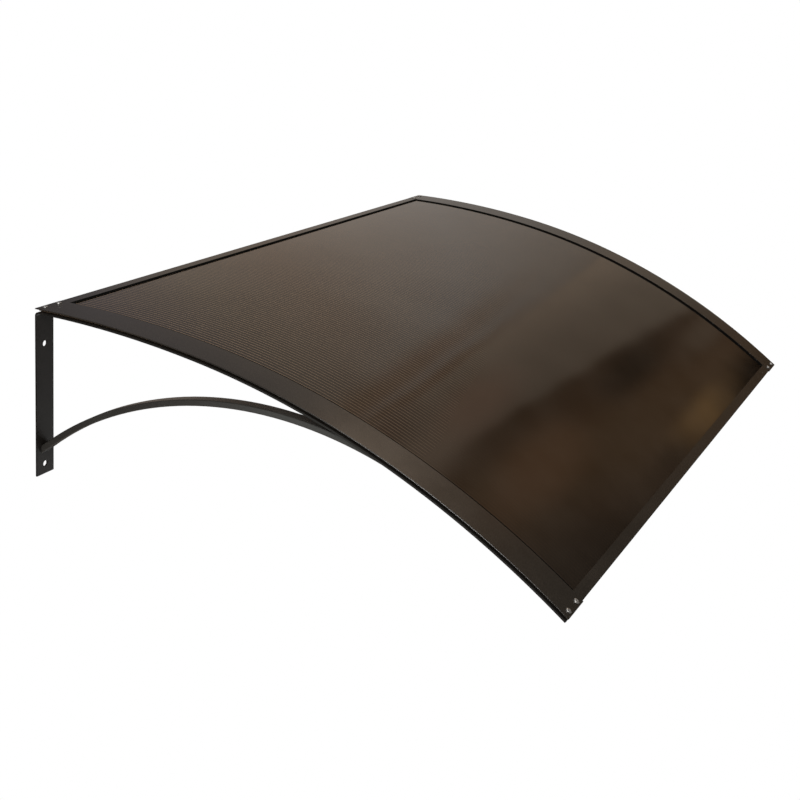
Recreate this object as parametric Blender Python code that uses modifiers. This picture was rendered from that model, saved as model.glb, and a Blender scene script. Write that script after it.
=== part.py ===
"""Arched polycarbonate door canopy on two bent steel wall brackets.

Units are metres. The wall is the plane Y = 0, the canopy reaches forward along -Y, X runs across
the door and Z is up. The origin is the centre of the back profile's rear face. Left is -X.
"""
import math
from collections import namedtuple

import bmesh
import bpy
from mathutils import Matrix, Vector

# Roof line: the top of the cover strips, two tangent arcs that rise a little as they leave the wall
CANOPY_WIDTH = 1.400
WALL_END_RISE = math.radians(1.5)
BACK_ARC_RADIUS = 1.780
BACK_ARC_LENGTH = 0.300
BACK_ARC_FACETS = 3
FRONT_ARC_RADIUS = 1.370
FRONT_ARC_LENGTH = 0.650
FRONT_ARC_FACETS = 9

# Gap between pieces that bear on each other, also all round a rivet's shank
CLEARANCE = 0.0003

# Twin-wall sheet: two skins joined by ribs, with open channels from the wall to the front
SHEET_THICKNESS = 0.0035
SHEET_SIDE_INSET = 0.008
SHEET_SKIN = 0.0005
SHEET_RIB = 0.0005
SHEET_CHANNELS = 82

# Cover strips, which hold the sheet's sides down on the arms
STRIP_WIDTH = 0.060
STRIP_THICKNESS = 0.0015

# Bracket bars: one flat bar each, bent from the wall upright into the arm
BAR_WIDTH = 0.040
BAR_THICKNESS = 0.003
BAR_BEND_RADIUS = 0.004
BAR_BEND_FACETS = 5
UPRIGHT_HEIGHT = 0.2755
WALL_HOLE_DIAMETER = 0.010
WALL_HOLE_FACETS = 24
LOWER_HOLE_HEIGHT = 0.017
WALL_HOLE_SPACING = 0.203

# Braces: rectangular tube, bowed from the upright's foot to the arm's underside
BRACE_WIDTH = 0.020
BRACE_HEIGHT = 0.010
BRACE_WALL = 0.0015
BRACE_RADIUS = 0.630
BRACE_FACETS = 26
BRACE_FOOT_HEIGHT = 0.0435
BRACE_MEETS_ARM = 0.650
BRACE_TOE = 0.027

# Edge profiles: channels on the sheet's front and back ends
FRONT_PROFILE_DEPTH = 0.018
BACK_PROFILE_DEPTH = 0.022
PROFILE_WALL = 0.0012
FRONT_PROFILE_SETBACK = 0.0015

# Blind rivets, two at each end of each cover strip
RIVET_HEAD_DIAMETER = 0.0085
RIVET_HEAD_HEIGHT = 0.0018
RIVET_SHANK_DIAMETER = 0.004
RIVET_TAIL_DIAMETER = 0.0054
RIVET_TAIL_LENGTH = 0.003
RIVET_TAIL_CHAMFER = 0.0008
RIVET_FACETS = 12
RIVET_DOME_POINTS = 4
RIVET_EDGE_DISTANCE = 0.014
FRONT_RIVET_SETBACK = 0.0075
BACK_RIVET_SETBACK = 0.0085

# How far a cutting tool reaches past what it cuts
CUT_MARGIN = 0.010

# Depths of the layers under the roof line
SHEET_TOP = STRIP_THICKNESS + CLEARANCE
SHEET_BOTTOM = SHEET_TOP + SHEET_THICKNESS
BAR_TOP = SHEET_BOTTOM + CLEARANCE
BAR_BOTTOM = BAR_TOP + BAR_THICKNESS
PROFILE_TOP = SHEET_TOP - CLEARANCE - PROFILE_WALL
PROFILE_BOTTOM = SHEET_BOTTOM + CLEARANCE + PROFILE_WALL

# Positions that follow from the sizes
HALF_WIDTH = CANOPY_WIDTH / 2
ROOF_LENGTH = BACK_ARC_LENGTH + FRONT_ARC_LENGTH
ROOF_HEIGHT = (SHEET_TOP + SHEET_BOTTOM) / 2
UPRIGHT_BOTTOM = ROOF_HEIGHT - BAR_TOP - UPRIGHT_HEIGHT
FRONT_PROFILE_FACE = ROOF_LENGTH - FRONT_PROFILE_SETBACK
SHEET_BACK_END = PROFILE_WALL + CLEARANCE
SHEET_FRONT_END = FRONT_PROFILE_FACE - PROFILE_WALL - CLEARANCE

SIDES = {"left": -1, "right": 1}

Fold = namedtuple("Fold", "travel top normal")


def start_scene():
    """An empty scene with one collection for the canopy and one for the cutting tools."""
    for leftover in list(bpy.data.objects):
        bpy.data.objects.remove(leftover)
    collections = []
    for name in ("door_canopy", "cutters"):
        collection = bpy.data.collections.new(name)
        bpy.context.scene.collection.children.link(collection)
        collections.append(collection)
    return collections


CANOPY, CUTTERS = start_scene()


def paint(name, color, roughness, metallic=0.0, alpha=1.0):
    """A Principled material of the piece's own."""
    material = bpy.data.materials.new(name)
    material.use_nodes = True
    shader = material.node_tree.nodes["Principled BSDF"]
    shader.inputs["Base Color"].default_value = (*color, 1.0)
    shader.inputs["Roughness"].default_value = roughness
    shader.inputs["Metallic"].default_value = metallic
    shader.inputs["Alpha"].default_value = alpha
    return material


def frame_paint(name):
    return paint(name + "_paint", color=(0.042, 0.035, 0.028), roughness=0.4, metallic=0.3)


def finish_piece(name, bm, material):
    """Store the finished mesh as a named piece of the canopy."""
    mesh = bpy.data.meshes.new(name)
    bm.to_mesh(mesh)
    bm.free()
    mesh.materials.append(material)
    piece = bpy.data.objects.new(name, mesh)
    CANOPY.objects.link(piece)
    return piece


def finish_cutter(name, bm):
    """Store the finished mesh as a hidden cutting tool."""
    mesh = bpy.data.meshes.new(name)
    bm.to_mesh(mesh)
    bm.free()
    cutter = bpy.data.objects.new(name, mesh)
    cutter.display_type = "WIRE"
    cutter.hide_render = True
    CUTTERS.objects.link(cutter)
    return cutter


def cut(piece, cutter):
    """Take the cutter's volume out of the piece."""
    boolean = piece.modifiers.new(cutter.name, "BOOLEAN")
    boolean.operation = "DIFFERENCE"
    boolean.solver = "EXACT"
    boolean.object = cutter


def normal_at(slope):
    """Outward normal, as (y, z), where the roof falls forward by the given angle."""
    return Vector((-math.sin(slope), math.cos(slope)))


def roof_folds():
    """Distance along the roof, top point and outward normal at each fold, from the wall on."""
    travel = 0.0
    slope = -WALL_END_RISE
    top = Vector((0.0, ROOF_HEIGHT))
    upright = Vector((0.0, 1.0))
    folds = [Fold(travel, top, upright)]
    arcs = (
        (BACK_ARC_RADIUS, BACK_ARC_LENGTH, BACK_ARC_FACETS),
        (FRONT_ARC_RADIUS, FRONT_ARC_LENGTH, FRONT_ARC_FACETS),
    )
    for radius, length, facets in arcs:
        centre = top - radius * normal_at(slope)
        for _ in range(facets):
            travel += length / facets
            slope += length / facets / radius
            top = centre + radius * normal_at(slope)
            folds.append(Fold(travel, top, normal_at(slope)))
    return folds


FOLDS = roof_folds()


def facet_at(travel):
    """The folds before and after a place on the roof; the end facets run on past the ends."""
    for before, after in zip(FOLDS, FOLDS[1:]):
        if travel <= after.travel:
            break
    return before, after


def roof_point(travel, depth):
    """The (y, z) point at a distance along the roof and a depth under it."""
    before, after = facet_at(travel)
    share = (travel - before.travel) / (after.travel - before.travel)
    start = before.top - depth * before.normal
    end = after.top - depth * after.normal
    return start + share * (end - start)


def roof_run(start, end, depth):
    """Points along the roof at one depth, from start to end in either direction."""
    low, high = sorted((start, end))
    between = [fold.travel for fold in FOLDS if low < fold.travel < high]
    if start > end:
        between.reverse()
    return [roof_point(travel, depth) for travel in (start, *between, end)]


def layer_outline(start, end, top, bottom):
    """Outline of a layer that follows the roof between two depths."""
    return roof_run(start, end, top) + roof_run(end, start, bottom)


def across(side, outer_inset, inner_inset):
    """The X range between two distances in from one side of the canopy."""
    return sorted((side * (HALF_WIDTH - outer_inset), side * (HALF_WIDTH - inner_inset)))


def extruded(outline, x_range):
    """A solid with a (y, z) outline, running across the door between two X values."""
    x_low, x_high = x_range
    bm = bmesh.new()
    face = bm.faces.new([bm.verts.new((x_low, y, z)) for y, z in outline])
    extrusion = bmesh.ops.extrude_face_region(bm, geom=[face])["geom"]
    far_verts = [item for item in extrusion if isinstance(item, bmesh.types.BMVert)]
    bmesh.ops.translate(bm, verts=far_verts, vec=(x_high - x_low, 0, 0))
    bmesh.ops.recalc_face_normals(bm, faces=bm.faces)
    return bm


def cylinder(diameter, facets, low, high):
    """A closed cylinder along Z between two heights."""
    bm = bmesh.new()
    centre = Matrix.Translation((0, 0, (low + high) / 2))
    bmesh.ops.create_cone(bm, cap_ends=True, segments=facets, radius1=diameter / 2,
                          radius2=diameter / 2, depth=high - low, matrix=centre)
    return bm


def round_corner(bm, corner, radius):
    """Round the edge that runs across the door through a (y, z) corner."""
    edges = []
    for edge in bm.edges:
        if all((vert.co.yz - corner).length < CLEARANCE for vert in edge.verts):
            edges.append(edge)
    bmesh.ops.bevel(bm, geom=edges, offset=radius, offset_type="OFFSET",
                    segments=BAR_BEND_FACETS, profile=0.5, affect="EDGES")


def wall_hole_cutter(name, side, height):
    """A drill for one screw hole in an upright, at a height above the upright's bottom."""
    bm = cylinder(WALL_HOLE_DIAMETER, WALL_HOLE_FACETS, -CUT_MARGIN, CUT_MARGIN)
    cutter = finish_cutter(name, bm)
    x_centre = side * (HALF_WIDTH - BAR_WIDTH / 2)
    cutter.location = (x_centre, -BAR_THICKNESS / 2, UPRIGHT_BOTTOM + height)
    cutter.rotation_euler = (math.radians(90), 0, 0)
    return cutter


def make_bracket_bar(side_name):
    """Flat bar with two screw holes in its upright, bent over into the curved arm."""
    side = SIDES[side_name]
    name = "bracket_bar_" + side_name
    outer_corner = roof_point(0, BAR_TOP)
    inner_corner = Vector((-BAR_THICKNESS, roof_point(BAR_THICKNESS, BAR_BOTTOM).y))
    outline = [Vector((0, UPRIGHT_BOTTOM))]
    outline += roof_run(0, ROOF_LENGTH, BAR_TOP)
    outline += roof_run(ROOF_LENGTH, BAR_THICKNESS, BAR_BOTTOM)[:-1]
    outline += [inner_corner, Vector((-BAR_THICKNESS, UPRIGHT_BOTTOM))]
    bm = extruded(outline, across(side, 0, BAR_WIDTH))
    round_corner(bm, outer_corner, BAR_BEND_RADIUS + BAR_THICKNESS)
    round_corner(bm, inner_corner, BAR_BEND_RADIUS)
    bar = finish_piece(name, bm, frame_paint(name))
    heights = {"lower": LOWER_HOLE_HEIGHT, "upper": LOWER_HOLE_HEIGHT + WALL_HOLE_SPACING}
    for level, height in heights.items():
        cut(bar, wall_hole_cutter(f"{level}_hole_{side_name}", side, height))
    return bar


def brace_arc():
    """Centre, start angle and end angle of the brace's middle line, run on past both its seats."""
    foot = Vector((-BAR_THICKNESS, UPRIGHT_BOTTOM + BRACE_FOOT_HEIGHT))
    head = roof_point(BRACE_MEETS_ARM, BAR_BOTTOM)
    half_chord = (head - foot) / 2
    rise = math.sqrt(BRACE_RADIUS ** 2 - half_chord.length_squared)
    downward = Vector((-half_chord.y, half_chord.x)).normalized()
    centre = foot + half_chord + rise * downward
    overrun = 2 * BRACE_HEIGHT / BRACE_RADIUS
    start = math.atan2(*reversed(foot - centre)) - overrun
    end = math.atan2(*reversed(head - centre)) + BRACE_TOE / BRACE_RADIUS + overrun
    return centre, start, end


def brace_cutter(side_name):
    """Everything behind the upright's face, above the arm's underside and past the brace's toe."""
    seat = BAR_BOTTOM + CLEARANCE
    wall_seat = BAR_THICKNESS + CLEARANCE
    toe = BRACE_MEETS_ARM + BRACE_TOE
    reach = toe + 4 * BRACE_HEIGHT
    floor = UPRIGHT_BOTTOM - CUT_MARGIN
    outline = [Vector((-wall_seat, floor))]
    outline += [Vector((-wall_seat, roof_point(wall_seat, seat).y))]
    outline += roof_run(wall_seat, toe, seat)[1:]
    outline += [roof_point(toe, seat + 2 * BRACE_HEIGHT)]
    outline += [roof_point(reach, seat + 4 * BRACE_HEIGHT)]
    outline += roof_run(reach, -2 * CUT_MARGIN, -CUT_MARGIN)
    outline += [Vector((2 * CUT_MARGIN, floor))]
    x_range = across(SIDES[side_name], -CUT_MARGIN, BAR_WIDTH + CUT_MARGIN)
    return finish_cutter("brace_trim_" + side_name, extruded(outline, x_range))


def make_brace(side_name):
    """Bowed rectangular tube, cut to the upright's face and to the arm's underside."""
    side = SIDES[side_name]
    name = "brace_" + side_name
    centre, start, end = brace_arc()
    x_low, x_high = across(side, (BAR_WIDTH - BRACE_WIDTH) / 2, (BAR_WIDTH + BRACE_WIDTH) / 2)
    inner = BRACE_RADIUS - BRACE_HEIGHT / 2
    outer = BRACE_RADIUS + BRACE_HEIGHT / 2
    direction = Vector((math.cos(start), math.sin(start)))
    bm = bmesh.new()
    corners = []
    for x, radius in ((x_low, inner), (x_high, inner), (x_high, outer), (x_low, outer)):
        corners.append(bm.verts.new((x, *(centre + radius * direction))))
    edges = [bm.edges.new((a, b)) for a, b in zip(corners, corners[1:] + corners[:1])]
    bmesh.ops.spin(bm, geom=corners + edges, cent=(0, *centre), axis=(1, 0, 0),
                   angle=end - start, steps=BRACE_FACETS)
    bmesh.ops.recalc_face_normals(bm, faces=bm.faces)
    brace = finish_piece(name, bm, frame_paint(name))
    wall = brace.modifiers.new("tube_wall", "SOLIDIFY")
    wall.thickness = BRACE_WALL
    wall.offset = -1
    wall.use_even_offset = True
    cut(brace, brace_cutter(side_name))
    return brace


def make_cover_strip(side_name):
    """Flat strip bent over the roof along one side of the sheet."""
    name = "cover_strip_" + side_name
    outline = layer_outline(0, ROOF_LENGTH, 0, STRIP_THICKNESS)
    bm = extruded(outline, across(SIDES[side_name], 0, STRIP_WIDTH))
    return finish_piece(name, bm, frame_paint(name))


def channel_cutter():
    """One tool for all the sheet's channels, a row of bars that follow the roof."""
    sheet_width = CANOPY_WIDTH - 2 * SHEET_SIDE_INSET
    pitch = (sheet_width - SHEET_RIB) / SHEET_CHANNELS
    first = -sheet_width / 2 + SHEET_RIB
    outline = layer_outline(SHEET_BACK_END - CUT_MARGIN, SHEET_FRONT_END + CUT_MARGIN,
                            SHEET_TOP + SHEET_SKIN, SHEET_BOTTOM - SHEET_SKIN)
    cutter = finish_cutter("sheet_channels", extruded(outline, (first, first + pitch - SHEET_RIB)))
    row = cutter.modifiers.new("row", "ARRAY")
    row.count = SHEET_CHANNELS
    row.use_relative_offset = False
    row.use_constant_offset = True
    row.constant_offset_displace = (pitch, 0, 0)
    return cutter


def make_sheet():
    """Bronze twin-wall sheet with its channels open at the wall and the front."""
    outline = layer_outline(SHEET_BACK_END, SHEET_FRONT_END, SHEET_TOP, SHEET_BOTTOM)
    half = HALF_WIDTH - SHEET_SIDE_INSET
    bronze = paint("bronze_polycarbonate", color=(0.07, 0.045, 0.028), roughness=0.2, alpha=0.85)
    sheet = finish_piece("polycarbonate_sheet", extruded(outline, (-half, half)), bronze)
    cut(sheet, channel_cutter())
    return sheet


def make_profile(name, face, inward, depth):
    """Channel on one end of the sheet; its ends are notched to pass under the cover strips."""
    tip = face + inward * depth
    web = face + inward * PROFILE_WALL
    outline = layer_outline(tip, face, PROFILE_TOP, PROFILE_BOTTOM)
    outline += layer_outline(tip, web, PROFILE_BOTTOM - PROFILE_WALL, PROFILE_TOP + PROFILE_WALL)
    half = HALF_WIDTH - BAR_WIDTH - CLEARANCE
    profile = finish_piece(name, extruded(outline, (-half, half)), frame_paint(name))
    notch = layer_outline(tip + inward * CUT_MARGIN, face - inward * CUT_MARGIN,
                          PROFILE_TOP - CUT_MARGIN, SHEET_TOP)
    for side_name, side in SIDES.items():
        x_range = across(side, BAR_WIDTH - CUT_MARGIN, STRIP_WIDTH + CLEARANCE)
        cut(profile, finish_cutter(f"{name}_notch_{side_name}", extruded(notch, x_range)))
    return profile


def rivet_outline(grip):
    """Half section, as (radius, height), from the dome's top down to the tail."""
    head_radius = RIVET_HEAD_DIAMETER / 2
    dome_radius = (head_radius ** 2 + RIVET_HEAD_HEIGHT ** 2) / (2 * RIVET_HEAD_HEIGHT)
    dome_angle = math.asin(head_radius / dome_radius)
    dome_base = CLEARANCE + RIVET_HEAD_HEIGHT - dome_radius
    outline = []
    for step in range(RIVET_DOME_POINTS + 1):
        angle = dome_angle * step / RIVET_DOME_POINTS
        outline.append((dome_radius * math.sin(angle), dome_base + dome_radius * math.cos(angle)))
    tail_top = -grip - CLEARANCE
    tail_end = tail_top - RIVET_TAIL_LENGTH
    tail_radius = RIVET_TAIL_DIAMETER / 2
    outline += [
        (RIVET_SHANK_DIAMETER / 2, CLEARANCE),
        (RIVET_SHANK_DIAMETER / 2, tail_top),
        (tail_radius, tail_top),
        (tail_radius, tail_end + RIVET_TAIL_CHAMFER),
        (tail_radius - RIVET_TAIL_CHAMFER, tail_end),
        (0.0, tail_end),
    ]
    return outline


def make_rivet(name, x, travel, grip, drilled):
    """One rivet square to the roof, and its hole through each piece that it joins."""
    before, after = facet_at(travel)
    along = after.top - before.top
    slope = math.atan2(-along.y, -along.x)
    place = (x, *roof_point(travel, 0))

    bm = bmesh.new()
    ring = [bm.verts.new((radius, 0, height)) for radius, height in rivet_outline(grip)]
    for upper, lower in zip(ring, ring[1:]):
        bm.edges.new((upper, lower))
    steel = paint(name + "_metal", color=(0.36, 0.35, 0.33), roughness=0.35, metallic=0.8)
    rivet = finish_piece(name, bm, steel)
    turn = rivet.modifiers.new("turn", "SCREW")
    turn.angle = math.radians(360)
    turn.steps = RIVET_FACETS
    turn.render_steps = RIVET_FACETS
    turn.use_merge_vertices = True
    turn.merge_threshold = 0.00001

    hole = cylinder(RIVET_SHANK_DIAMETER + 2 * CLEARANCE, RIVET_FACETS,
                    -grip - CUT_MARGIN, CUT_MARGIN)
    drill = finish_cutter(name + "_drill", hole)
    for placed in (rivet, drill):
        placed.location = place
        placed.rotation_euler = (slope, 0, 0)
    for piece in drilled:
        cut(piece, drill)


def main():
    sheet = make_sheet()
    profiles = {
        "front": make_profile("front_profile", FRONT_PROFILE_FACE, -1, FRONT_PROFILE_DEPTH),
        "back": make_profile("back_profile", 0, 1, BACK_PROFILE_DEPTH),
    }
    rivet_travel = {"front": ROOF_LENGTH - FRONT_RIVET_SETBACK, "back": BACK_RIVET_SETBACK}
    for side_name, side in SIDES.items():
        bar = make_bracket_bar(side_name)
        make_brace(side_name)
        strip = make_cover_strip(side_name)
        for end, travel in rivet_travel.items():
            x_outer = side * (HALF_WIDTH - RIVET_EDGE_DISTANCE)
            make_rivet(f"rivet_{end}_{side_name}_outer", x_outer, travel, BAR_BOTTOM,
                       (strip, sheet, bar))
            x_inner = side * (HALF_WIDTH - STRIP_WIDTH + RIVET_EDGE_DISTANCE)
            make_rivet(f"rivet_{end}_{side_name}_inner", x_inner, travel, PROFILE_BOTTOM,
                       (strip, sheet, profiles[end]))


main()
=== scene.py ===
import math

import bmesh
import bpy
from mathutils import Matrix, Vector


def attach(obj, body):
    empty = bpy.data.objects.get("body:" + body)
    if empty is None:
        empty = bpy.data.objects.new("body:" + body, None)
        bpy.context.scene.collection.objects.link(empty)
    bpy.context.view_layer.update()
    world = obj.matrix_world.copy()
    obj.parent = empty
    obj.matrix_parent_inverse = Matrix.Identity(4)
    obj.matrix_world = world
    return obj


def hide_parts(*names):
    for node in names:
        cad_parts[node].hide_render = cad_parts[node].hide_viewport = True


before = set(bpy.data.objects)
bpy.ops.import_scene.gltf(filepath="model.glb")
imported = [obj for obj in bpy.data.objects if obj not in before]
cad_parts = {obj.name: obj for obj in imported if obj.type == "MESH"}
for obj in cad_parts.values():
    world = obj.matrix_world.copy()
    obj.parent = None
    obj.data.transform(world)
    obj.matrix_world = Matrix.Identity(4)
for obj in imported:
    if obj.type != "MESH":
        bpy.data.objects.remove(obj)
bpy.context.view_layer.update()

# Metres throughout. The wall is Y = 0, the canopy reaches out along -Y, left is -X
roof = {
    "topAtWall": 0.00355,
    "wallEndRise": math.radians(1.5),
    "backRadius": 1.780,
    "backLength": 0.300,
    "backSteps": 14,
    "frontRadius": 1.370,
    "frontLength": 0.650,
    "frontSteps": 32,
    "halfWidth": 0.700,
}
roofLength = roof["backLength"] + roof["frontLength"]

# How deep each layer lies under the top of the cover strips
layerDepths = {
    "strip": (0.0, 0.0015),
    "sheet": (0.0018, 0.0053),
    "bar": (0.0056, 0.0086),
    "profile": (0.0003, 0.0068),
}

# Points nearer than mergeDistance merge, and heights nearer than sameLevel count as one
mergeDistance = 0.000005
sameLevel = 0.00001
# A face whose normal has at least this cosine to a direction faces that way
facing = 0.9
facingSquarely = 0.99
# Edges sharper than bevelAngle are rounded, and those flatter than smoothAngle shade smooth
bevelAngle = math.radians(40)
smoothAngle = math.radians(35)
quarterTurn = math.radians(90)


def report(words):
    print("canopy scene: " + words)


# Selecting and editing


def deselectAll():
    if bpy.context.object and bpy.context.object.mode != "OBJECT":
        bpy.ops.object.mode_set(mode="OBJECT")
    bpy.ops.object.select_all(action="DESELECT")


def choose(piece):
    deselectAll()
    piece.select_set(True)
    bpy.context.view_layer.objects.active = piece


def startEdit(piece):
    choose(piece)
    bpy.ops.object.mode_set(mode="EDIT")
    bpy.ops.mesh.select_mode(type="FACE")


def endEdit():
    bpy.ops.object.mode_set(mode="OBJECT")


def pickAll():
    bpy.ops.mesh.select_all(action="SELECT")


def pickParts(kind, wanted):
    bpy.ops.mesh.select_all(action="DESELECT")
    bpy.ops.mesh.select_mode(type=kind)
    mesh = bpy.context.object.data
    bm = bmesh.from_edit_mesh(mesh)
    for part in {"FACE": bm.faces, "EDGE": bm.edges, "VERT": bm.verts}[kind]:
        part.select_set(wanted(part))
    bm.select_flush_mode()
    bmesh.update_edit_mesh(mesh)


def pickFaces(wanted):
    pickParts("FACE", lambda face: wanted(face.calc_center_median(), face.normal))


def pickEdges(wanted):
    pickParts("EDGE", lambda edge: wanted(edge.verts[0].co, edge.verts[1].co))


def pickCorners(wanted):
    pickParts("VERT", lambda corner: wanted(corner.co))


def extrudeBy(move):
    bpy.ops.mesh.extrude_region_move(TRANSFORM_OT_translate={"value": tuple(move)})


def applyPlace():
    bpy.ops.object.transform_apply(location=True, rotation=True, scale=True)


def applyModifiers(piece):
    choose(piece)
    for modifier in list(piece.modifiers):
        bpy.ops.object.modifier_apply(modifier=modifier.name)


def cutWith(piece, tool, keepTool=False):
    boolean = piece.modifiers.new("cut", "BOOLEAN")
    boolean.operation = "DIFFERENCE"
    boolean.solver = "EXACT"
    boolean.object = tool
    applyModifiers(piece)
    if not keepTool:
        removeTool(tool)


def removeTool(tool):
    choose(tool)
    bpy.ops.object.delete()


def duplicateAs(piece, name):
    choose(piece)
    bpy.ops.object.duplicate(linked=False)
    twin = bpy.context.object
    twin.name = name
    return twin


def copyAcross(piece, name, moveX):
    twin = duplicateAs(piece, name)
    twin.location.x += moveX
    applyPlace()
    return twin


def mirrorAcross(piece, name):
    twin = duplicateAs(piece, name)
    twin.scale.x = -1
    applyPlace()
    startEdit(twin)
    closeUp()
    return twin


def softenEdges(piece, width):
    bevel = piece.modifiers.new("edges", "BEVEL")
    bevel.width = width
    bevel.segments = 2
    bevel.limit_method = "ANGLE"
    bevel.angle_limit = bevelAngle
    bevel.use_clamp_overlap = True
    applyModifiers(piece)
    smooth(piece)


def smooth(piece):
    choose(piece)
    bpy.ops.object.shade_smooth_by_angle(angle=smoothAngle)
    weighted = piece.modifiers.new("flats", "WEIGHTED_NORMAL")
    weighted.keep_sharp = True
    applyModifiers(piece)


# The roof line: two tangent arcs


def outward(slope):
    return Vector((0, -math.sin(slope), math.cos(slope)))


def forward(slope):
    return Vector((0, -math.cos(slope), -math.sin(slope)))


wallSlope = -roof["wallEndRise"]
jointSlope = wallSlope + roof["backLength"] / roof["backRadius"]
backCentre = Vector((0, 0, roof["topAtWall"])) - roof["backRadius"] * outward(wallSlope)
frontCentre = backCentre + (roof["backRadius"] - roof["frontRadius"]) * outward(jointSlope)


def slopeAt(travel):
    if travel < roof["backLength"]:
        return wallSlope + travel / roof["backRadius"]
    return jointSlope + (travel - roof["backLength"]) / roof["frontRadius"]


def roofPlace(travel, depth, x=0.0):
    if travel < roof["backLength"]:
        centre, radius = backCentre, roof["backRadius"]
    else:
        centre, radius = frontCentre, roof["frontRadius"]
    place = centre + (radius - depth) * outward(slopeAt(travel))
    place.x = x
    return place


def spinForward(centre, angle, steps):
    bpy.ops.mesh.spin(steps=steps, angle=-angle, center=tuple(centre), axis=(1, 0, 0))


def spinAlongRoof(start, end):
    if start < roof["backLength"]:
        length = roof["backLength"] - start
        steps = round(roof["backSteps"] * length / roof["backLength"])
        spinForward(backCentre, length / roof["backRadius"], steps)
        start = roof["backLength"]
    length = end - start
    steps = round(roof["frontSteps"] * length / roof["frontLength"])
    spinForward(frontCentre, length / roof["frontRadius"], steps)


def addSection(name, x, width, layer, travel):
    top, bottom = layer
    deselectAll()
    bpy.ops.mesh.primitive_plane_add(
        size=1,
        location=roofPlace(travel, (top + bottom) / 2, x),
        rotation=(quarterTurn + slopeAt(travel), 0, 0),
    )
    section = bpy.context.object
    section.name = name
    section.scale = (width, bottom - top, 1)
    applyPlace()
    return section


def closeUp():
    pickAll()
    bpy.ops.mesh.remove_doubles(threshold=mergeDistance)
    bpy.ops.mesh.normals_make_consistent(inside=False)
    endEdit()


# Rivet places and the drill for their holes

rivet = {
    "headRadius": 0.00425,
    "headHeight": 0.0018,
    "shankRadius": 0.0020,
    "tailRadius": 0.0027,
    "tailLength": 0.0030,
    "stemRadius": 0.0009,
    "stemDepth": 0.0007,
    "clearance": 0.0003,
    "outerX": 0.686,
    "innerX": 0.654,
    "frontTravel": 0.9425,
    "backTravel": 0.0085,
    "outerGrip": 0.0086,
    "innerGrip": 0.0068,
    "sides": 28,
    "domeWidth": 0.0017,
    "domeSegments": 5,
    "flatRadius": 0.00255,
    "tailEdge": 0.0008,
    "tailSegments": 3,
    "drillSides": 24,
    "drillLength": 0.030,
}
rivetPlaces = {}
for sideName, side in (("left", -1), ("right", 1)):
    for endName in ("front", "back"):
        for rowName in ("outer", "inner"):
            rivetPlaces[f"rivet_{endName}_{sideName}_{rowName}"] = (
                side * rivet[rowName + "X"], rivet[endName + "Travel"], rivet[rowName + "Grip"])


def makeDrill():
    radius = rivet["shankRadius"] + rivet["clearance"]
    deselectAll()
    bits = []
    for x, travel, grip in rivetPlaces.values():
        bpy.ops.mesh.primitive_cylinder_add(
            vertices=rivet["drillSides"], radius=radius, depth=rivet["drillLength"],
            location=roofPlace(travel, grip / 2, x), rotation=(slopeAt(travel), 0, 0))
        bits.append(bpy.context.object)
    deselectAll()
    for bit in bits:
        bit.select_set(True)
    bpy.context.view_layer.objects.active = bits[0]
    bpy.ops.object.join()
    applyPlace()
    bits[0].name = "rivetDrill"
    return bits[0]


drill = makeDrill()

# Cover strips, each rounded more along its outer top edge

strip = {
    "width": 0.060,
    "outerRadius": 0.0012,
    "outerSegments": 4,
    "topBand": 0.0002,
    "edgeRadius": 0.0002,
}
stripX = roof["halfWidth"] - strip["width"] / 2
stripLeft = addSection("coverStripLeft", -stripX, strip["width"], layerDepths["strip"], 0)
startEdit(stripLeft)
topEdge = roofPlace(0, strip["topBand"]).dot(outward(wallSlope))
pickCorners(lambda place: place.x < -stripX and place.dot(outward(wallSlope)) > topEdge)
bpy.ops.mesh.bevel(
    offset=strip["outerRadius"], segments=strip["outerSegments"], affect="VERTICES")
pickAll()
spinAlongRoof(0, roofLength)
closeUp()
stripRight = mirrorAcross(stripLeft, "coverStripRight")
for piece in (stripLeft, stripRight):
    cutWith(piece, drill, keepTool=True)
    softenEdges(piece, strip["edgeRadius"])
report("cover strips made")

# Black lips along the strips' inner edges and the back profile: partly a rubber seal on the sheet,
# partly painted shade that stands for the shadow gap under the strips
lip = {
    "leftWidth": 0.0042,
    # The right lip is drawn wider than the left: the extra width is painted shade, not seal
    "rightWidthWithShade": 0.0118,
    "backWidth": 0.0030,
    "top": 0.0003,
    "low": 0.0013,
    "seat": 0.00175,
    "gap": 0.0001,
    "start": 0.0225,
    "end": 0.930,
    "flangeTop": -0.0003,
    "flangeLow": 0.0002,
    "flangeReach": 0.0025,
}
lipEdge = roof["halfWidth"] - strip["width"] - lip["gap"]
lipSlope = slopeAt(lip["start"])


# The top falls from the edge next to the strip or profile to the edge on the sheet
def slopeTop(piece, heart, inward):
    startEdit(piece)
    pickCorners(lambda place: (place - heart).dot(outward(lipSlope)) > 0
                and (place - heart).dot(inward) > 0)
    bpy.ops.transform.translate(value=(lip["top"] - lip["low"]) * outward(lipSlope))


def makeSideLip(name, side, width):
    start = lip["start"] + lip["backWidth"]
    middle = side * (lipEdge - width / 2)
    piece = addSection(name, middle, width, (lip["top"], lip["seat"]), start)
    slopeTop(piece, roofPlace(start, (lip["top"] + lip["seat"]) / 2, middle), Vector((-side, 0, 0)))
    pickAll()
    spinAlongRoof(start, lip["end"])
    closeUp()
    smooth(piece)
    return piece


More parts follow.
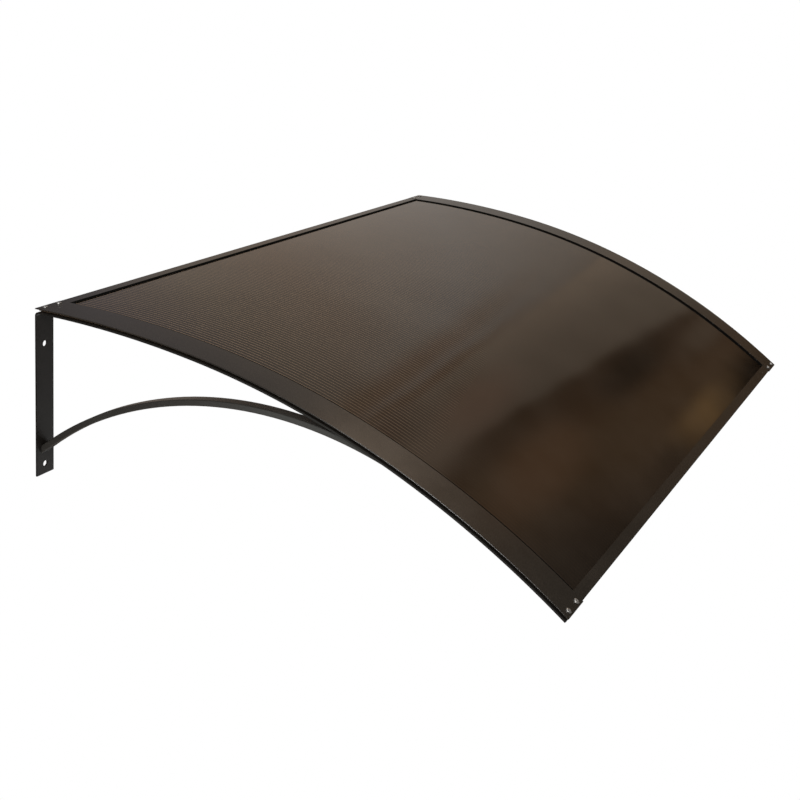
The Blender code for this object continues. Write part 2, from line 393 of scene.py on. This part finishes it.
# The back lip also laps over the profile's edge
def makeBackLip(name):
    up = outward(lipSlope)
    back = -forward(lipSlope)
    heart = roofPlace(lip["start"] + lip["backWidth"] / 2, (lip["flangeTop"] + lip["seat"]) / 2)
    deselectAll()
    bpy.ops.mesh.primitive_cube_add(size=1, location=heart, rotation=(lipSlope, 0, 0))
    piece = bpy.context.object
    piece.name = name
    piece.scale = (2 * lipEdge, lip["backWidth"], lip["seat"] - lip["flangeTop"])
    applyPlace()
    flange = roofPlace(lip["start"], lip["flangeLow"])
    startEdit(piece)
    pickAll()
    bpy.ops.mesh.bisect(plane_co=tuple(flange), plane_no=tuple(up))
    pickFaces(lambda centre, normal: normal.dot(back) > facing and (centre - flange).dot(up) > 0)
    extrudeBy(lip["flangeReach"] * back)
    endEdit()
    slopeTop(piece, heart, forward(lipSlope))
    closeUp()
    smooth(piece)
    return piece


lipLeft = makeSideLip("sealLipAndShadeLeft", -1, lip["leftWidth"])
lipRight = makeSideLip("sealLipAndShadeRight", 1, lip["rightWidthWithShade"])
lipBack = makeBackLip("sealLipAndShadeBack")
report("rubber lips made")

# Bracket bars: up the wall, round the bend and out along the roof

bar = {
    "width": 0.040,
    "thickness": 0.003,
    "bendRadius": 0.004,
    "bendSteps": 10,
    "uprightBottom": -0.27755,
    "holeRadius": 0.005,
    "holeHeights": (0.017, 0.220),
    "holeSides": 48,
    "drillLength": 0.020,
    "edgeRadius": 0.0004,
}
barX = roof["halfWidth"] - bar["width"] / 2


def makeBar(name):
    deselectAll()
    bpy.ops.mesh.primitive_plane_add(
        size=1, location=(-barX, -bar["thickness"] / 2, bar["uprightBottom"]))
    piece = bpy.context.object
    piece.name = name
    piece.scale = (bar["width"], bar["thickness"], 1)
    applyPlace()
    bendY = -bar["thickness"] - bar["bendRadius"]
    reach = roof["backRadius"] - layerDepths["bar"][1] - bar["bendRadius"]
    armSlope = math.asin((backCentre.y - bendY) / reach)
    bendCentre = backCentre + reach * outward(armSlope)
    startEdit(piece)
    pickAll()
    extrudeBy((0, 0, bendCentre.z - bar["uprightBottom"]))
    pickFaces(lambda centre, normal: abs(centre.z - bendCentre.z) < sameLevel)
    spinForward(bendCentre, quarterTurn + armSlope, bar["bendSteps"])
    spinAlongRoof((armSlope - wallSlope) * roof["backRadius"], roofLength)
    closeUp()
    for height in bar["holeHeights"]:
        deselectAll()
        bpy.ops.mesh.primitive_cylinder_add(
            vertices=bar["holeSides"], radius=bar["holeRadius"], depth=bar["drillLength"],
            location=(-barX, -bar["thickness"] / 2, bar["uprightBottom"] + height),
            rotation=(quarterTurn, 0, 0))
        cutWith(piece, bpy.context.object)
    return piece


barLeft = makeBar("bracketBarLeft")
barRight = copyAcross(barLeft, "bracketBarRight", 2 * barX)
for piece in (barLeft, barRight):
    cutWith(piece, drill, keepTool=True)
    softenEdges(piece, bar["edgeRadius"])
report("bracket bars made")

# Braces: rectangular tube bowed from the upright's foot to the arm

brace = {
    "width": 0.020,
    "height": 0.010,
    "wall": 0.0015,
    "cornerRadius": 0.0018,
    "cornerSegments": 4,
    "radius": 0.630,
    "steps": 44,
    "footHeight": 0.0435,
    "meetsArm": 0.650,
    "toe": 0.027,
    "gap": 0.0003,
}
# Blocks that trim each brace to the upright's face, the arm's underside and its toe
trim = {
    "wallSize": 0.2,
    "wallHeight": -0.2,
    "armStart": 0.45,
    "armLength": 0.36,
    "armSteps": 36,
    "armWidth": 0.06,
    "armTop": -0.03,
    "toeSize": 0.08,
    "toeDepth": 0.02,
}


# The tube's arc, with both ends run on past their seats
def braceCurve():
    foot = Vector((0, -bar["thickness"], bar["uprightBottom"] + brace["footHeight"]))
    head = roofPlace(brace["meetsArm"], layerDepths["bar"][1])
    half = (head - foot) / 2
    rise = math.sqrt(brace["radius"] ** 2 - half.length_squared)
    downward = Vector((0, -half.z, half.y)).normalized()
    centre = foot + half + rise * downward
    overrun = 2 * brace["height"] / brace["radius"]
    start = math.atan2(foot.z - centre.z, foot.y - centre.y) - overrun
    end = math.atan2(head.z - centre.z, head.y - centre.y) + brace["toe"] / brace["radius"] + overrun
    return centre, start, end


def makeBrace(name):
    centre, start, end = braceCurve()
    middle = centre + brace["radius"] * Vector((0, math.cos(start), math.sin(start)))
    deselectAll()
    bpy.ops.mesh.primitive_plane_add(
        size=1, location=(-barX, middle.y, middle.z), rotation=(start, 0, 0))
    piece = bpy.context.object
    piece.name = name
    piece.scale = (brace["width"], brace["height"], 1)
    applyPlace()
    startEdit(piece)
    pickAll()
    bpy.ops.mesh.bevel(
        offset=brace["cornerRadius"], segments=brace["cornerSegments"], affect="VERTICES")
    pickAll()
    bpy.ops.mesh.inset(thickness=brace["wall"])
    bpy.ops.mesh.delete(type="FACE")
    pickAll()
    spinForward(centre, end - start, brace["steps"])
    closeUp()
    seat = layerDepths["bar"][1] + brace["gap"]
    wallSeat = bar["thickness"] + brace["gap"]
    deselectAll()
    bpy.ops.mesh.primitive_cube_add(
        size=trim["wallSize"],
        location=(-barX, trim["wallSize"] / 2 - wallSeat, trim["wallHeight"]))
    cutWith(piece, bpy.context.object)
    block = addSection("armBlock", -barX, trim["armWidth"], (trim["armTop"], seat), trim["armStart"])
    startEdit(block)
    pickAll()
    spinForward(frontCentre, trim["armLength"] / roof["frontRadius"], trim["armSteps"])
    closeUp()
    cutWith(piece, block)
    toe = brace["meetsArm"] + brace["toe"]
    toeMiddle = roofPlace(toe, trim["toeDepth"], -barX) + trim["toeSize"] / 2 * forward(slopeAt(toe))
    deselectAll()
    bpy.ops.mesh.primitive_cube_add(
        size=trim["toeSize"], location=toeMiddle, rotation=(slopeAt(toe), 0, 0))
    cutWith(piece, bpy.context.object)
    smooth(piece)
    return piece


braceLeft = makeBrace("braceLeft")
braceRight = copyAcross(braceLeft, "braceRight", 2 * barX)
report("braces made")

# Twin-wall sheet: one hollow cell, repeated across, then carried along the roof

sheet = {
    "sideInset": 0.008,
    "skin": 0.0005,
    "rib": 0.0005,
    "cells": 164,
    "start": 0.0015,
    "end": 0.947,
}


def makeSheet(name):
    width = 2 * (roof["halfWidth"] - sheet["sideInset"])
    pitch = width / sheet["cells"]
    top, bottom = layerDepths["sheet"]
    thickness = bottom - top
    cell = addSection(name, -width / 2 + pitch / 2, pitch, layerDepths["sheet"], sheet["start"])
    startEdit(cell)
    pickAll()
    bpy.ops.mesh.inset(thickness=sheet["rib"] / 2)
    hollow = (thickness - 2 * sheet["skin"]) / (thickness - sheet["rib"])
    middle = roofPlace(sheet["start"], (top + bottom) / 2)
    bpy.ops.transform.resize(value=(1, 1, hollow), center_override=tuple(middle))
    bpy.ops.mesh.delete(type="FACE")
    endEdit()
    row = cell.modifiers.new("row", "ARRAY")
    row.count = sheet["cells"]
    row.use_relative_offset = False
    row.use_constant_offset = True
    row.constant_offset_displace = (pitch, 0, 0)
    row.use_merge_vertices = True
    row.merge_threshold = sameLevel
    applyModifiers(cell)
    startEdit(cell)
    pickAll()
    spinAlongRoof(sheet["start"], sheet["end"])
    closeUp()
    return cell


canopySheet = makeSheet("polycarbonateSheet")
cutWith(canopySheet, drill, keepTool=True)
smooth(canopySheet)
report("sheet made")

# Edge profiles: a web across the sheet's end, with a lip over it and one under it. Both ends
# are notched so that they slip under the cover strips

profile = {
    "halfLength": 0.6597,
    "notchHalf": 0.6397,
    "notchDepth": 0.0018,
    "notchSize": (0.1, 0.05, 0.02),
    "wall": 0.0012,
    "frontFace": 0.9485,
    "frontDepth": 0.018,
    "backDepth": 0.022,
    "edgeRadius": 0.00025,
}


def makeProfile(name, face, inward, depth):
    top, bottom = layerDepths["profile"]
    wall = profile["wall"]
    middleTravel = face + inward * depth / 2
    slope = slopeAt(middleTravel)
    up = outward(slope)
    along = inward * forward(slope)
    heart = roofPlace(middleTravel, (top + bottom) / 2)
    webCentre = heart - (depth - wall) / 2 * along
    deselectAll()
    bpy.ops.mesh.primitive_cube_add(size=1, location=webCentre, rotation=(slope, 0, 0))
    piece = bpy.context.object
    piece.name = name
    piece.scale = (2 * profile["halfLength"], wall, bottom - top)
    applyPlace()
    lipPlane = (bottom - top) / 2 - wall
    startEdit(piece)
    for sign in (-1, 1):
        pickAll()
        bpy.ops.mesh.bisect(plane_co=tuple(heart + sign * lipPlane * up), plane_no=tuple(up))
    pickFaces(lambda centre, normal: normal.dot(along) > facing
              and abs((centre - heart).dot(up)) > lipPlane)
    extrudeBy((depth - wall) * along)
    closeUp()
    notchX = profile["notchHalf"] + profile["notchSize"][0] / 2
    notchMiddle = profile["notchDepth"] - profile["notchSize"][2] / 2
    for side in (-1, 1):
        deselectAll()
        bpy.ops.mesh.primitive_cube_add(
            size=1, location=roofPlace(middleTravel, notchMiddle, side * notchX),
            rotation=(slope, 0, 0))
        notch = bpy.context.object
        notch.scale = profile["notchSize"]
        applyPlace()
        cutWith(piece, notch)
    cutWith(piece, drill, keepTool=True)
    softenEdges(piece, profile["edgeRadius"])
    return piece


frontProfile = makeProfile("frontProfile", profile["frontFace"], -1, profile["frontDepth"])
backProfile = makeProfile("backProfile", 0, 1, profile["backDepth"])
report("profiles made")

# Blind rivets, made upright at the origin and then set in their places


def makeRivet(name, grip):
    deselectAll()
    bpy.ops.mesh.primitive_cylinder_add(
        vertices=rivet["sides"], radius=rivet["headRadius"], depth=rivet["headHeight"],
        location=(0, 0, rivet["clearance"] + rivet["headHeight"] / 2))
    piece = bpy.context.object
    piece.name = name
    applyPlace()
    headTop = rivet["clearance"] + rivet["headHeight"]
    startEdit(piece)
    pickEdges(lambda a, b: min(a.z, b.z) > headTop - sameLevel)
    bpy.ops.mesh.bevel(
        offset=rivet["domeWidth"], segments=rivet["domeSegments"], affect="EDGES",
        clamp_overlap=True)
    pickFaces(lambda centre, normal: normal.z > facingSquarely
              and centre.z > headTop - sameLevel)
    bpy.ops.mesh.inset(thickness=rivet["flatRadius"] - rivet["stemRadius"])
    extrudeBy((0, 0, -rivet["stemDepth"]))
    pickFaces(lambda centre, normal: normal.z < -facingSquarely)
    bpy.ops.mesh.inset(thickness=rivet["headRadius"] - rivet["shankRadius"])
    extrudeBy((0, 0, -grip - 2 * rivet["clearance"]))
    # A second ring at the same height, widened to the formed tail
    extrudeBy((0, 0, 0))
    flare = rivet["tailRadius"] / rivet["shankRadius"]
    bpy.ops.transform.resize(value=(flare, flare, 1), center_override=(0, 0, 0))
    extrudeBy((0, 0, -rivet["tailLength"]))
    tailEnd = -grip - rivet["clearance"] - rivet["tailLength"]
    pickEdges(lambda a, b: max(a.z, b.z) < tailEnd + sameLevel)
    bpy.ops.mesh.bevel(
        offset=rivet["tailEdge"], segments=rivet["tailSegments"], affect="EDGES")
    closeUp()
    smooth(piece)
    return piece


rivetModels = {}
rivets = {}
for name, (x, travel, grip) in rivetPlaces.items():
    if grip not in rivetModels:
        rivetModels[grip] = makeRivet("rivetModel", grip)
    piece = duplicateAs(rivetModels[grip], "blind" + name.title().replace("_", ""))
    piece.location = roofPlace(travel, 0, x)
    piece.rotation_euler = (slopeAt(travel), 0, 0)
    applyPlace()
    rivets[name] = piece
for model in rivetModels.values():
    removeTool(model)
removeTool(drill)
report("rivets made")

# Finishes


def newMaterial(name):
    material = bpy.data.materials.new(name)
    material.use_nodes = True
    return material, material.node_tree.nodes


def setInputs(node, values):
    for key, value in values.items():
        if isinstance(value, bpy.types.NodeSocket):
            node.id_data.links.new(value, node.inputs[key])
        else:
            node.inputs[key].default_value = value


def addNode(nodes, kind, values, **settings):
    node = nodes.new(kind)
    for key, value in settings.items():
        setattr(node, key, value)
    setInputs(node, values)
    return node


def calculate(nodes, operation, *values, **settings):
    node = addNode(nodes, "ShaderNodeMath", dict(enumerate(values)), operation=operation, **settings)
    return node.outputs[0]


def mapRange(nodes, value, limits, **settings):
    values = {"Value": value, **limits}
    return addNode(nodes, "ShaderNodeMapRange", values, clamp=True, **settings).outputs["Result"]


# A mix node's colour sockets share their names with its others, so they go by number
colorMix = {"factor": 0, "first": 6, "second": 7, "result": 2}


def mixColors(nodes, factor, first, second):
    values = {colorMix["factor"]: factor, colorMix["first"]: first, colorMix["second"]: second}
    node = addNode(nodes, "ShaderNodeMix", values, data_type="RGBA")
    return node.outputs[colorMix["result"]]


def addNoise(nodes, place, values):
    return addNode(nodes, "ShaderNodeTexNoise", {"Vector": place, **values}).outputs["Fac"]


def addBump(nodes, height, values):
    return addNode(nodes, "ShaderNodeBump", {"Height": height, **values}).outputs["Normal"]


def buildPaintGroup():
    group = bpy.data.node_groups.new("paintedSteel", "ShaderNodeTree")
    face = group.interface
    for name, kind, start in (
            ("Color", "NodeSocketColor", (0.02, 0.02, 0.02, 1)),
            ("Dust Color", "NodeSocketColor", (0.2, 0.18, 0.15, 1)),
            ("Dust", "NodeSocketFloat", 0.2),
            ("Roughness", "NodeSocketFloat", 0.4),
            ("Peel", "NodeSocketFloat", 0.1)):
        face.new_socket(name, in_out="INPUT", socket_type=kind).default_value = start
    for name, kind in (("Color", "NodeSocketColor"), ("Roughness", "NodeSocketFloat"),
                       ("Normal", "NodeSocketVector")):
        face.new_socket(name, in_out="OUTPUT", socket_type=kind)
    nodes = group.nodes
    source = nodes.new("NodeGroupInput").outputs
    place = nodes.new("ShaderNodeTexCoord").outputs["Object"]
    blotch = addNoise(nodes, place, {"Scale": 14.0, "Detail": 6.0, "Roughness": 0.6})
    speck = addNoise(nodes, place, {"Scale": 420.0, "Detail": 3.0, "Roughness": 0.55})
    peel = addNoise(nodes, place, {"Scale": 900.0, "Detail": 2.0})
    spread = mapRange(nodes, calculate(nodes, "MULTIPLY", blotch, speck),
                      {"From Min": 0.16, "From Max": 0.40})
    amount = calculate(nodes, "MULTIPLY", spread, source["Dust"])
    uneven = mapRange(nodes, blotch, {"To Min": -0.06, "To Max": 0.10})
    addNode(nodes, "NodeGroupOutput", {
        "Color": mixColors(nodes, amount, source["Color"], source["Dust Color"]),
        "Roughness": calculate(nodes, "ADD", source["Roughness"], uneven, use_clamp=True),
        "Normal": addBump(nodes, peel, {"Distance": 0.0002, "Strength": source["Peel"]}),
    })
    return group


paintGroup = buildPaintGroup()


def paintedSteel(name, look):
    material, nodes = newMaterial(name)
    group = addNode(nodes, "ShaderNodeGroup", look["group"], node_tree=paintGroup)
    setInputs(nodes["Principled BSDF"], {
        **look["shader"],
        "Base Color": group.outputs["Color"],
        "Roughness": group.outputs["Roughness"],
        "Normal": group.outputs["Normal"],
    })
    return material


barLook = {
    "group": {"Color": (0.0068, 0.0056, 0.0045, 1), "Dust Color": (0.024, 0.020, 0.016, 1),
              "Dust": 0.25, "Roughness": 0.40, "Peel": 0.12},
    "shader": {"Metallic": 0.0, "IOR": 1.42},
}
# The brace gets the bars' frame paint with a lighter base colour: painted light on the brace's lit
# sides
braceLitLook = {
    "group": {"Color": (0.0210, 0.0190, 0.0165, 1), "Dust Color": (0.050, 0.046, 0.041, 1),
              "Dust": 0.25, "Roughness": 0.27, "Peel": 0.12},
    "shader": {"Metallic": 0.0, "IOR": 1.50},
}
stripLook = {
    "group": {"Color": (0.0140, 0.0116, 0.0090, 1), "Dust Color": (0.040, 0.032, 0.024, 1),
              "Dust": 0.25, "Roughness": 0.22, "Peel": 0.06},
    "shader": {"Metallic": 0.0, "IOR": 1.55},
}
# Black for the lips, which are partly a rubber seal and partly painted shade of the gap under the
# strips
sealAndShadeLook = {
    "group": {"Color": (0.0035, 0.0033, 0.0030, 1), "Dust Color": (0.010, 0.009, 0.008, 1),
              "Dust": 0.15, "Roughness": 0.80, "Peel": 0.20},
    "shader": {"Metallic": 0.0, "Specular IOR Level": 0.0},
}
rivetLook = {
    "group": {"Color": (0.44, 0.43, 0.41, 1), "Dust Color": (0.12, 0.11, 0.10, 1),
              "Dust": 0.35, "Roughness": 0.38, "Peel": 0.10},
    "shader": {"Metallic": 0.85},
}
barPaint = paintedSteel("barPaint", barLook)
braceLitPaint = paintedSteel("braceLitPaint", braceLitLook)
blackSealAndShade = paintedSteel("blackSealAndShade", sealAndShadeLook)
stripPaint = paintedSteel("stripPaint", stripLook)
rivetMetal = paintedSteel("rivetMetal", rivetLook)

# The rib lines sit where the real ribs are, but their brightness is painted light through the sheet,
# clear near the wall and fading further out
sheetLook = {
    "Color": (0.0070, 0.0042, 0.0022, 1),
    "Lit Rib Color": (0.176, 0.118, 0.074, 1),
    "ribWave": {"From Min": 0.75, "From Max": 0.98},
    "ribLightFade": {"From Min": -0.74, "From Max": -0.30, "To Min": 0.04},
    "Dust Color": (0.075, 0.060, 0.046, 1),
    "dust": {"From Min": 0.35, "From Max": 0.70, "To Min": 0.0, "To Max": 0.12},
    "Roughness": 0.06,
    "smoother": 0.01,
    "rougher": 0.02,
    "IOR": 1.50,
    "fluteHeight": 0.00001,
    "sagHeight": 0.0007,
}


def bronzeSheetMaterial():
    material, nodes = newMaterial("bronzePolycarbonate")
    place = nodes.new("ShaderNodeTexCoord").outputs["Object"]
    split = addNode(nodes, "ShaderNodeSeparateXYZ", {"Vector": place}).outputs
    pitch = 2 * (roof["halfWidth"] - sheet["sideInset"]) / sheet["cells"]
    cellCount = calculate(nodes, "MULTIPLY_ADD", split["X"], 1 / pitch, sheet["cells"] / 2)
    crest = calculate(nodes, "COSINE", calculate(nodes, "MULTIPLY", cellCount, 2 * math.pi))
    # Painted light along each rib, faded with Y from the wall outwards
    litRibs = calculate(nodes, "MULTIPLY", mapRange(nodes, crest, sheetLook["ribWave"]),
                     mapRange(nodes, split["Y"], sheetLook["ribLightFade"]))
    tone = mixColors(nodes, litRibs, sheetLook["Color"], sheetLook["Lit Rib Color"])
    cloud = addNoise(nodes, place, {"Scale": 6.0, "Detail": 5.0, "Roughness": 0.55})
    dust = mapRange(nodes, cloud, sheetLook["dust"])
    flutes = addBump(nodes, crest, {"Strength": 1.0, "Distance": sheetLook["fluteHeight"]})
    sag = addNoise(nodes, place, {"Scale": 5.0, "Detail": 1.0})
    waves = addBump(nodes, sag, {"Strength": 1.0, "Distance": sheetLook["sagHeight"],
                                 "Normal": flutes})
    shader = nodes["Principled BSDF"]
    setInputs(shader, {"IOR": sheetLook["IOR"], "Roughness": sheetLook["Roughness"]})
    setInputs(shader, {
        "Base Color": mixColors(nodes, dust, tone, sheetLook["Dust Color"]),
        "Roughness": mapRange(nodes, cloud, {
            "To Min": sheetLook["Roughness"] - sheetLook["smoother"],
            "To Max": sheetLook["Roughness"] + sheetLook["rougher"]}),
        "Normal": waves,
    })
    return material


bronzeSheet = bronzeSheetMaterial()

# Which piece stands for which node, its finish and the record's slot

stands = [
    (stripLeft, ("cover_strip_left",), stripPaint, "strip_paint"),
    (stripRight, ("cover_strip_right",), stripPaint, "strip_paint"),
    (barLeft, ("bracket_bar_left",), barPaint, "frame_paint"),
    (barRight, ("bracket_bar_right",), barPaint, "frame_paint"),
    (braceLeft, ("brace_left",), braceLitPaint, "frame_paint"),
    (braceRight, ("brace_right",), braceLitPaint, "frame_paint"),
    (lipLeft, (), blackSealAndShade, "strip_paint"),
    (lipRight, (), blackSealAndShade, "strip_paint"),
    (lipBack, (), blackSealAndShade, "strip_paint"),
    (canopySheet, ("polycarbonate_sheet",), bronzeSheet, "bronze_polycarbonate"),
    (frontProfile, ("front_profile",), stripPaint, "strip_paint"),
    (backProfile, ("back_profile",), stripPaint, "strip_paint"),
]
for name, piece in rivets.items():
    stands.append((piece, (name,), rivetMetal, "rivet"))
for piece, nodesReplaced, material, slotName in stands:
    piece.data.materials.clear()
    piece.data.materials.append(material)
    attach(piece, "root")
    if nodesReplaced:
        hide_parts(*nodesReplaced)
report("finishes set")

# Floor, world and lights

studio = {
    "floorDrop": 2.25,
    "floorSize": 60.0,
    "softLight": 0.65,
    "lampAim": (0, -0.45, -0.1),
}


# 1 for rays that show the surface to the viewer or in a reflection, 0 for those that only light
def seenDirectly(nodes):
    path = nodes.new("ShaderNodeLightPath").outputs
    seen = calculate(nodes, "MAXIMUM", path["Is Camera Ray"], path["Is Glossy Ray"])
    return calculate(nodes, "MAXIMUM", seen, path["Is Transmission Ray"])


def mixShaders(nodes, factor, first, second):
    values = {0: factor, 1: first.outputs[0], 2: second.outputs[0]}
    return addNode(nodes, "ShaderNodeMixShader", values).outputs[0]


world = bpy.data.worlds.new("studioWorld")
bpy.context.scene.world = world
world.use_nodes = True
worldNodes = world.node_tree.nodes
worldNodes.clear()
softSky = addNode(worldNodes, "ShaderNodeBackground",
                  {"Color": (1, 0.99, 0.975, 1), "Strength": studio["softLight"]})
whiteSky = addNode(worldNodes, "ShaderNodeBackground", {"Color": (1, 1, 1, 1), "Strength": 1.0})
addNode(worldNodes, "ShaderNodeOutputWorld",
        {"Surface": mixShaders(worldNodes, seenDirectly(worldNodes), softSky, whiteSky)})

deselectAll()
bpy.ops.mesh.primitive_plane_add(size=studio["floorSize"], location=(0, 0, -studio["floorDrop"]))
floor = bpy.context.object
floor.name = "paleFloor"
floorMaterial, floorNodes = newMaterial("paleFloor")
floorNodes.clear()
floorPaint = addNode(floorNodes, "ShaderNodeBsdfDiffuse", {"Color": (0.80, 0.80, 0.79, 1)})
floorGlow = addNode(floorNodes, "ShaderNodeEmission", {"Color": (1, 1, 1, 1), "Strength": 1.0})
addNode(floorNodes, "ShaderNodeOutputMaterial",
        {"Surface": mixShaders(floorNodes, seenDirectly(floorNodes), floorPaint, floorGlow)})
floor.data.materials.append(floorMaterial)

# A patch has its full tone up to this share of its radius, and none at the radius
patchCore = 0.2


def reflectionCard(name, look):
    deselectAll()
    bpy.ops.mesh.primitive_plane_add(size=1, location=look["location"], rotation=look["rotation"])
    card = bpy.context.object
    card.name = name
    card.scale = (*look["size"], 1)
    applyPlace()
    material, nodes = newMaterial(name)
    nodes.clear()
    place = nodes.new("ShaderNodeTexCoord").outputs["Object"]
    across = addNode(nodes, "ShaderNodeVectorMath", {0: place, 1: look["across"]},
                     operation="DOT_PRODUCT").outputs["Value"]
    tones = look["tones"]
    start, end = tones[0][0], tones[-1][0]
    span = mapRange(nodes, across, {"From Min": start, "From Max": end})
    ramp = addNode(nodes, "ShaderNodeValToRGB", {"Fac": span})
    steps = ramp.color_ramp.elements
    # New steps start halfway along and get their places next
    while len(steps) < len(tones):
        steps.new(0.5)
    for step, (where, color) in zip(steps, tones):
        step.position = (where - start) / (end - start)
        step.color = (*color, 1)
    shade = ramp.outputs["Color"]
    for centre, radius, color in look.get("patches", ()):
        away = addNode(nodes, "ShaderNodeVectorMath", {0: place, 1: centre},
                       operation="DISTANCE").outputs["Value"]
        limits = {"From Min": radius, "From Max": patchCore * radius}
        cover = mapRange(nodes, away, limits, interpolation_type="SMOOTHSTEP")
        shade = mixColors(nodes, cover, shade, (*color, 1))
    glow = addNode(nodes, "ShaderNodeEmission", {"Color": shade})
    addNode(nodes, "ShaderNodeOutputMaterial", {"Surface": glow.outputs[0]})
    card.data.materials.append(material)
    card.visible_camera = False
    card.visible_diffuse = False
    card.visible_shadow = False
    card.visible_transmission = False
    card.visible_volume_scatter = False


# Cards that only gloss sees: warm where the wall would be, darker to the right, front and left.
# The tones run along the direction "across", and each patch is a centre, a radius and a tone
cards = {
    "wallCard": {
        "location": (2.5, 0.04, 1.6),
        "rotation": (quarterTurn, 0, 0),
        "size": (13.0, 7.6),
        "across": (1, 0, -1.35),
        "tones": (
            (-0.9, (0.100, 0.100, 0.105)),
            (-0.55, (0.200, 0.180, 0.185)),
            (-0.3, (0.315, 0.265, 0.220)),
            (0.0, (0.370, 0.295, 0.240)),
            (0.35, (0.430, 0.370, 0.320)),
            (0.8, (0.420, 0.380, 0.345)),
            (1.6, (0.355, 0.312, 0.272)),
            (3.0, (0.295, 0.245, 0.200)),
        ),
        "patches": (
            ((2.6, 0.04, 2.1), 1.4, (0.32, 0.22, 0.150)),
            ((4.4, 0.04, 2.75), 1.3, (0.29, 0.195, 0.130)),
            ((-0.75, 0.04, -0.28), 0.45, (0.02, 0.02, 0.02)),
            ((-1.85, 0.04, -0.46), 0.78, (1.32, 1.38, 1.32)),
        ),
    },
    "sideCard": {
        "location": (5.0, -1.95, 1.6),
        "rotation": (quarterTurn, 0, quarterTurn),
        "size": (4.0, 7.6),
        "across": (0, 1, -0.1),
        "tones": (
            (-4.4, (0.020, 0.018, 0.016)),
            (-3.1, (0.030, 0.028, 0.026)),
            (-2.8, (0.075, 0.055, 0.042)),
            (-2.5, (0.160, 0.103, 0.066)),
            (-2.1, (0.200, 0.120, 0.065)),
            (-1.75, (0.185, 0.110, 0.060)),
            (-1.5, (0.140, 0.082, 0.047)),
            (-1.16, (0.095, 0.058, 0.036)),
            (-1.08, (0.250, 0.195, 0.145)),
            (-0.6, (0.270, 0.215, 0.165)),
            (-0.2, (0.370, 0.290, 0.220)),
        ),
        "patches": (
            ((5.0, 0.10, 3.70), 0.90, (0.26, 0.17, 0.12)),
            ((5.0, -0.75, 3.40), 0.60, (0.42, 0.31, 0.23)),
            ((5.0, -0.52, 2.76), 0.50, (0.375, 0.245, 0.175)),
            ((5.0, -1.65, 2.55), 0.60, (0.34, 0.185, 0.10)),
            ((5.0, -1.18, 1.72), 0.36, (0.045, 0.032, 0.022)),
            ((5.0, -1.26, 1.20), 0.24, (0.20, 0.14, 0.095)),
            ((5.0, -1.97, 1.20), 0.30, (0.48, 0.28, 0.12)),
            ((5.0, -2.25, 1.42), 0.30, (0.08, 0.05, 0.03)),
            ((5.0, -1.85, 0.80), 0.48, (0.004, 0.004, 0.004)),
        ),
    },
    "frontCard": {
        "location": (0.5, -3.0, 1.6),
        "rotation": (quarterTurn, 0, 0),
        "size": (9.0, 7.6),
        "across": (1, 0, 0),
        "tones": ((-4.0, (0.10, 0.09, 0.08)), (5.0, (0.04, 0.035, 0.03))),
    },
    "leftCard": {
        "location": (-4.0, 0.1, 0.0),
        "rotation": (quarterTurn, 0, quarterTurn),
        "size": (6.2, 4.4),
        "across": (0, 1, 0),
        "tones": ((-3.0, (0.03, 0.03, 0.03)), (3.2, (0.05, 0.05, 0.05))),
    },
}
for cardName, look in cards.items():
    reflectionCard(cardName, look)

lamps = {
    "key": {"location": (-4.2, -1.6, 2.6), "size": 2.0, "power": 190.0},
    "window": {"location": (2.8, -0.8, 3.5), "size": 1.5, "power": 20.0,
               "color": (1.0, 0.76, 0.55)},
}
for lampName, lamp in lamps.items():
    deselectAll()
    bpy.ops.object.light_add(type="AREA", location=lamp["location"])
    light = bpy.context.object
    light.name = lampName + "Lamp"
    light.data.size = lamp["size"]
    light.data.energy = lamp["power"]
    light.data.color = lamp.get("color", (1, 1, 1))
    aim = Vector(studio["lampAim"]) - Vector(lamp["location"])
    light.rotation_euler = aim.to_track_quat("-Z", "Y").to_euler()
report("studio set")

# Camera at the photograph's viewing angle

view = {
    "location": (-2.19501, -1.31403, 0.55345),
    "yaw": 1.09419,
    "pitch": 0.28994,
    "roll": 0.06526,
    "lens": 58.3145,
    "shiftX": 0.0700,
    "shiftY": -0.0692,
    "sensorWidth": 36,
    "clipEnd": 200,
}
deselectAll()
bpy.ops.object.camera_add(location=view["location"])
camera = bpy.context.object
camera.name = "photoCamera"
camera.rotation_mode = "QUATERNION"
ahead = Vector((math.sin(view["yaw"]) * math.cos(view["pitch"]),
                math.cos(view["yaw"]) * math.cos(view["pitch"]),
                -math.sin(view["pitch"])))
level = Vector((math.cos(view["yaw"]), -math.sin(view["yaw"]), 0))
upward = level.cross(ahead)
rightAxis = math.cos(view["roll"]) * level + math.sin(view["roll"]) * upward
upAxis = -math.sin(view["roll"]) * level + math.cos(view["roll"]) * upward
turn = Matrix((rightAxis, upAxis, -ahead)).transposed()
camera.rotation_quaternion = turn.to_quaternion()
camera.data.sensor_width = view["sensorWidth"]
camera.data.lens = view["lens"]
camera.data.shift_x = view["shiftX"]
camera.data.shift_y = view["shiftY"]
camera.data.dof.use_dof = False
camera.data.clip_end = view["clipEnd"]
bpy.context.scene.camera = camera
bpy.context.scene.view_settings.view_transform = "Standard"
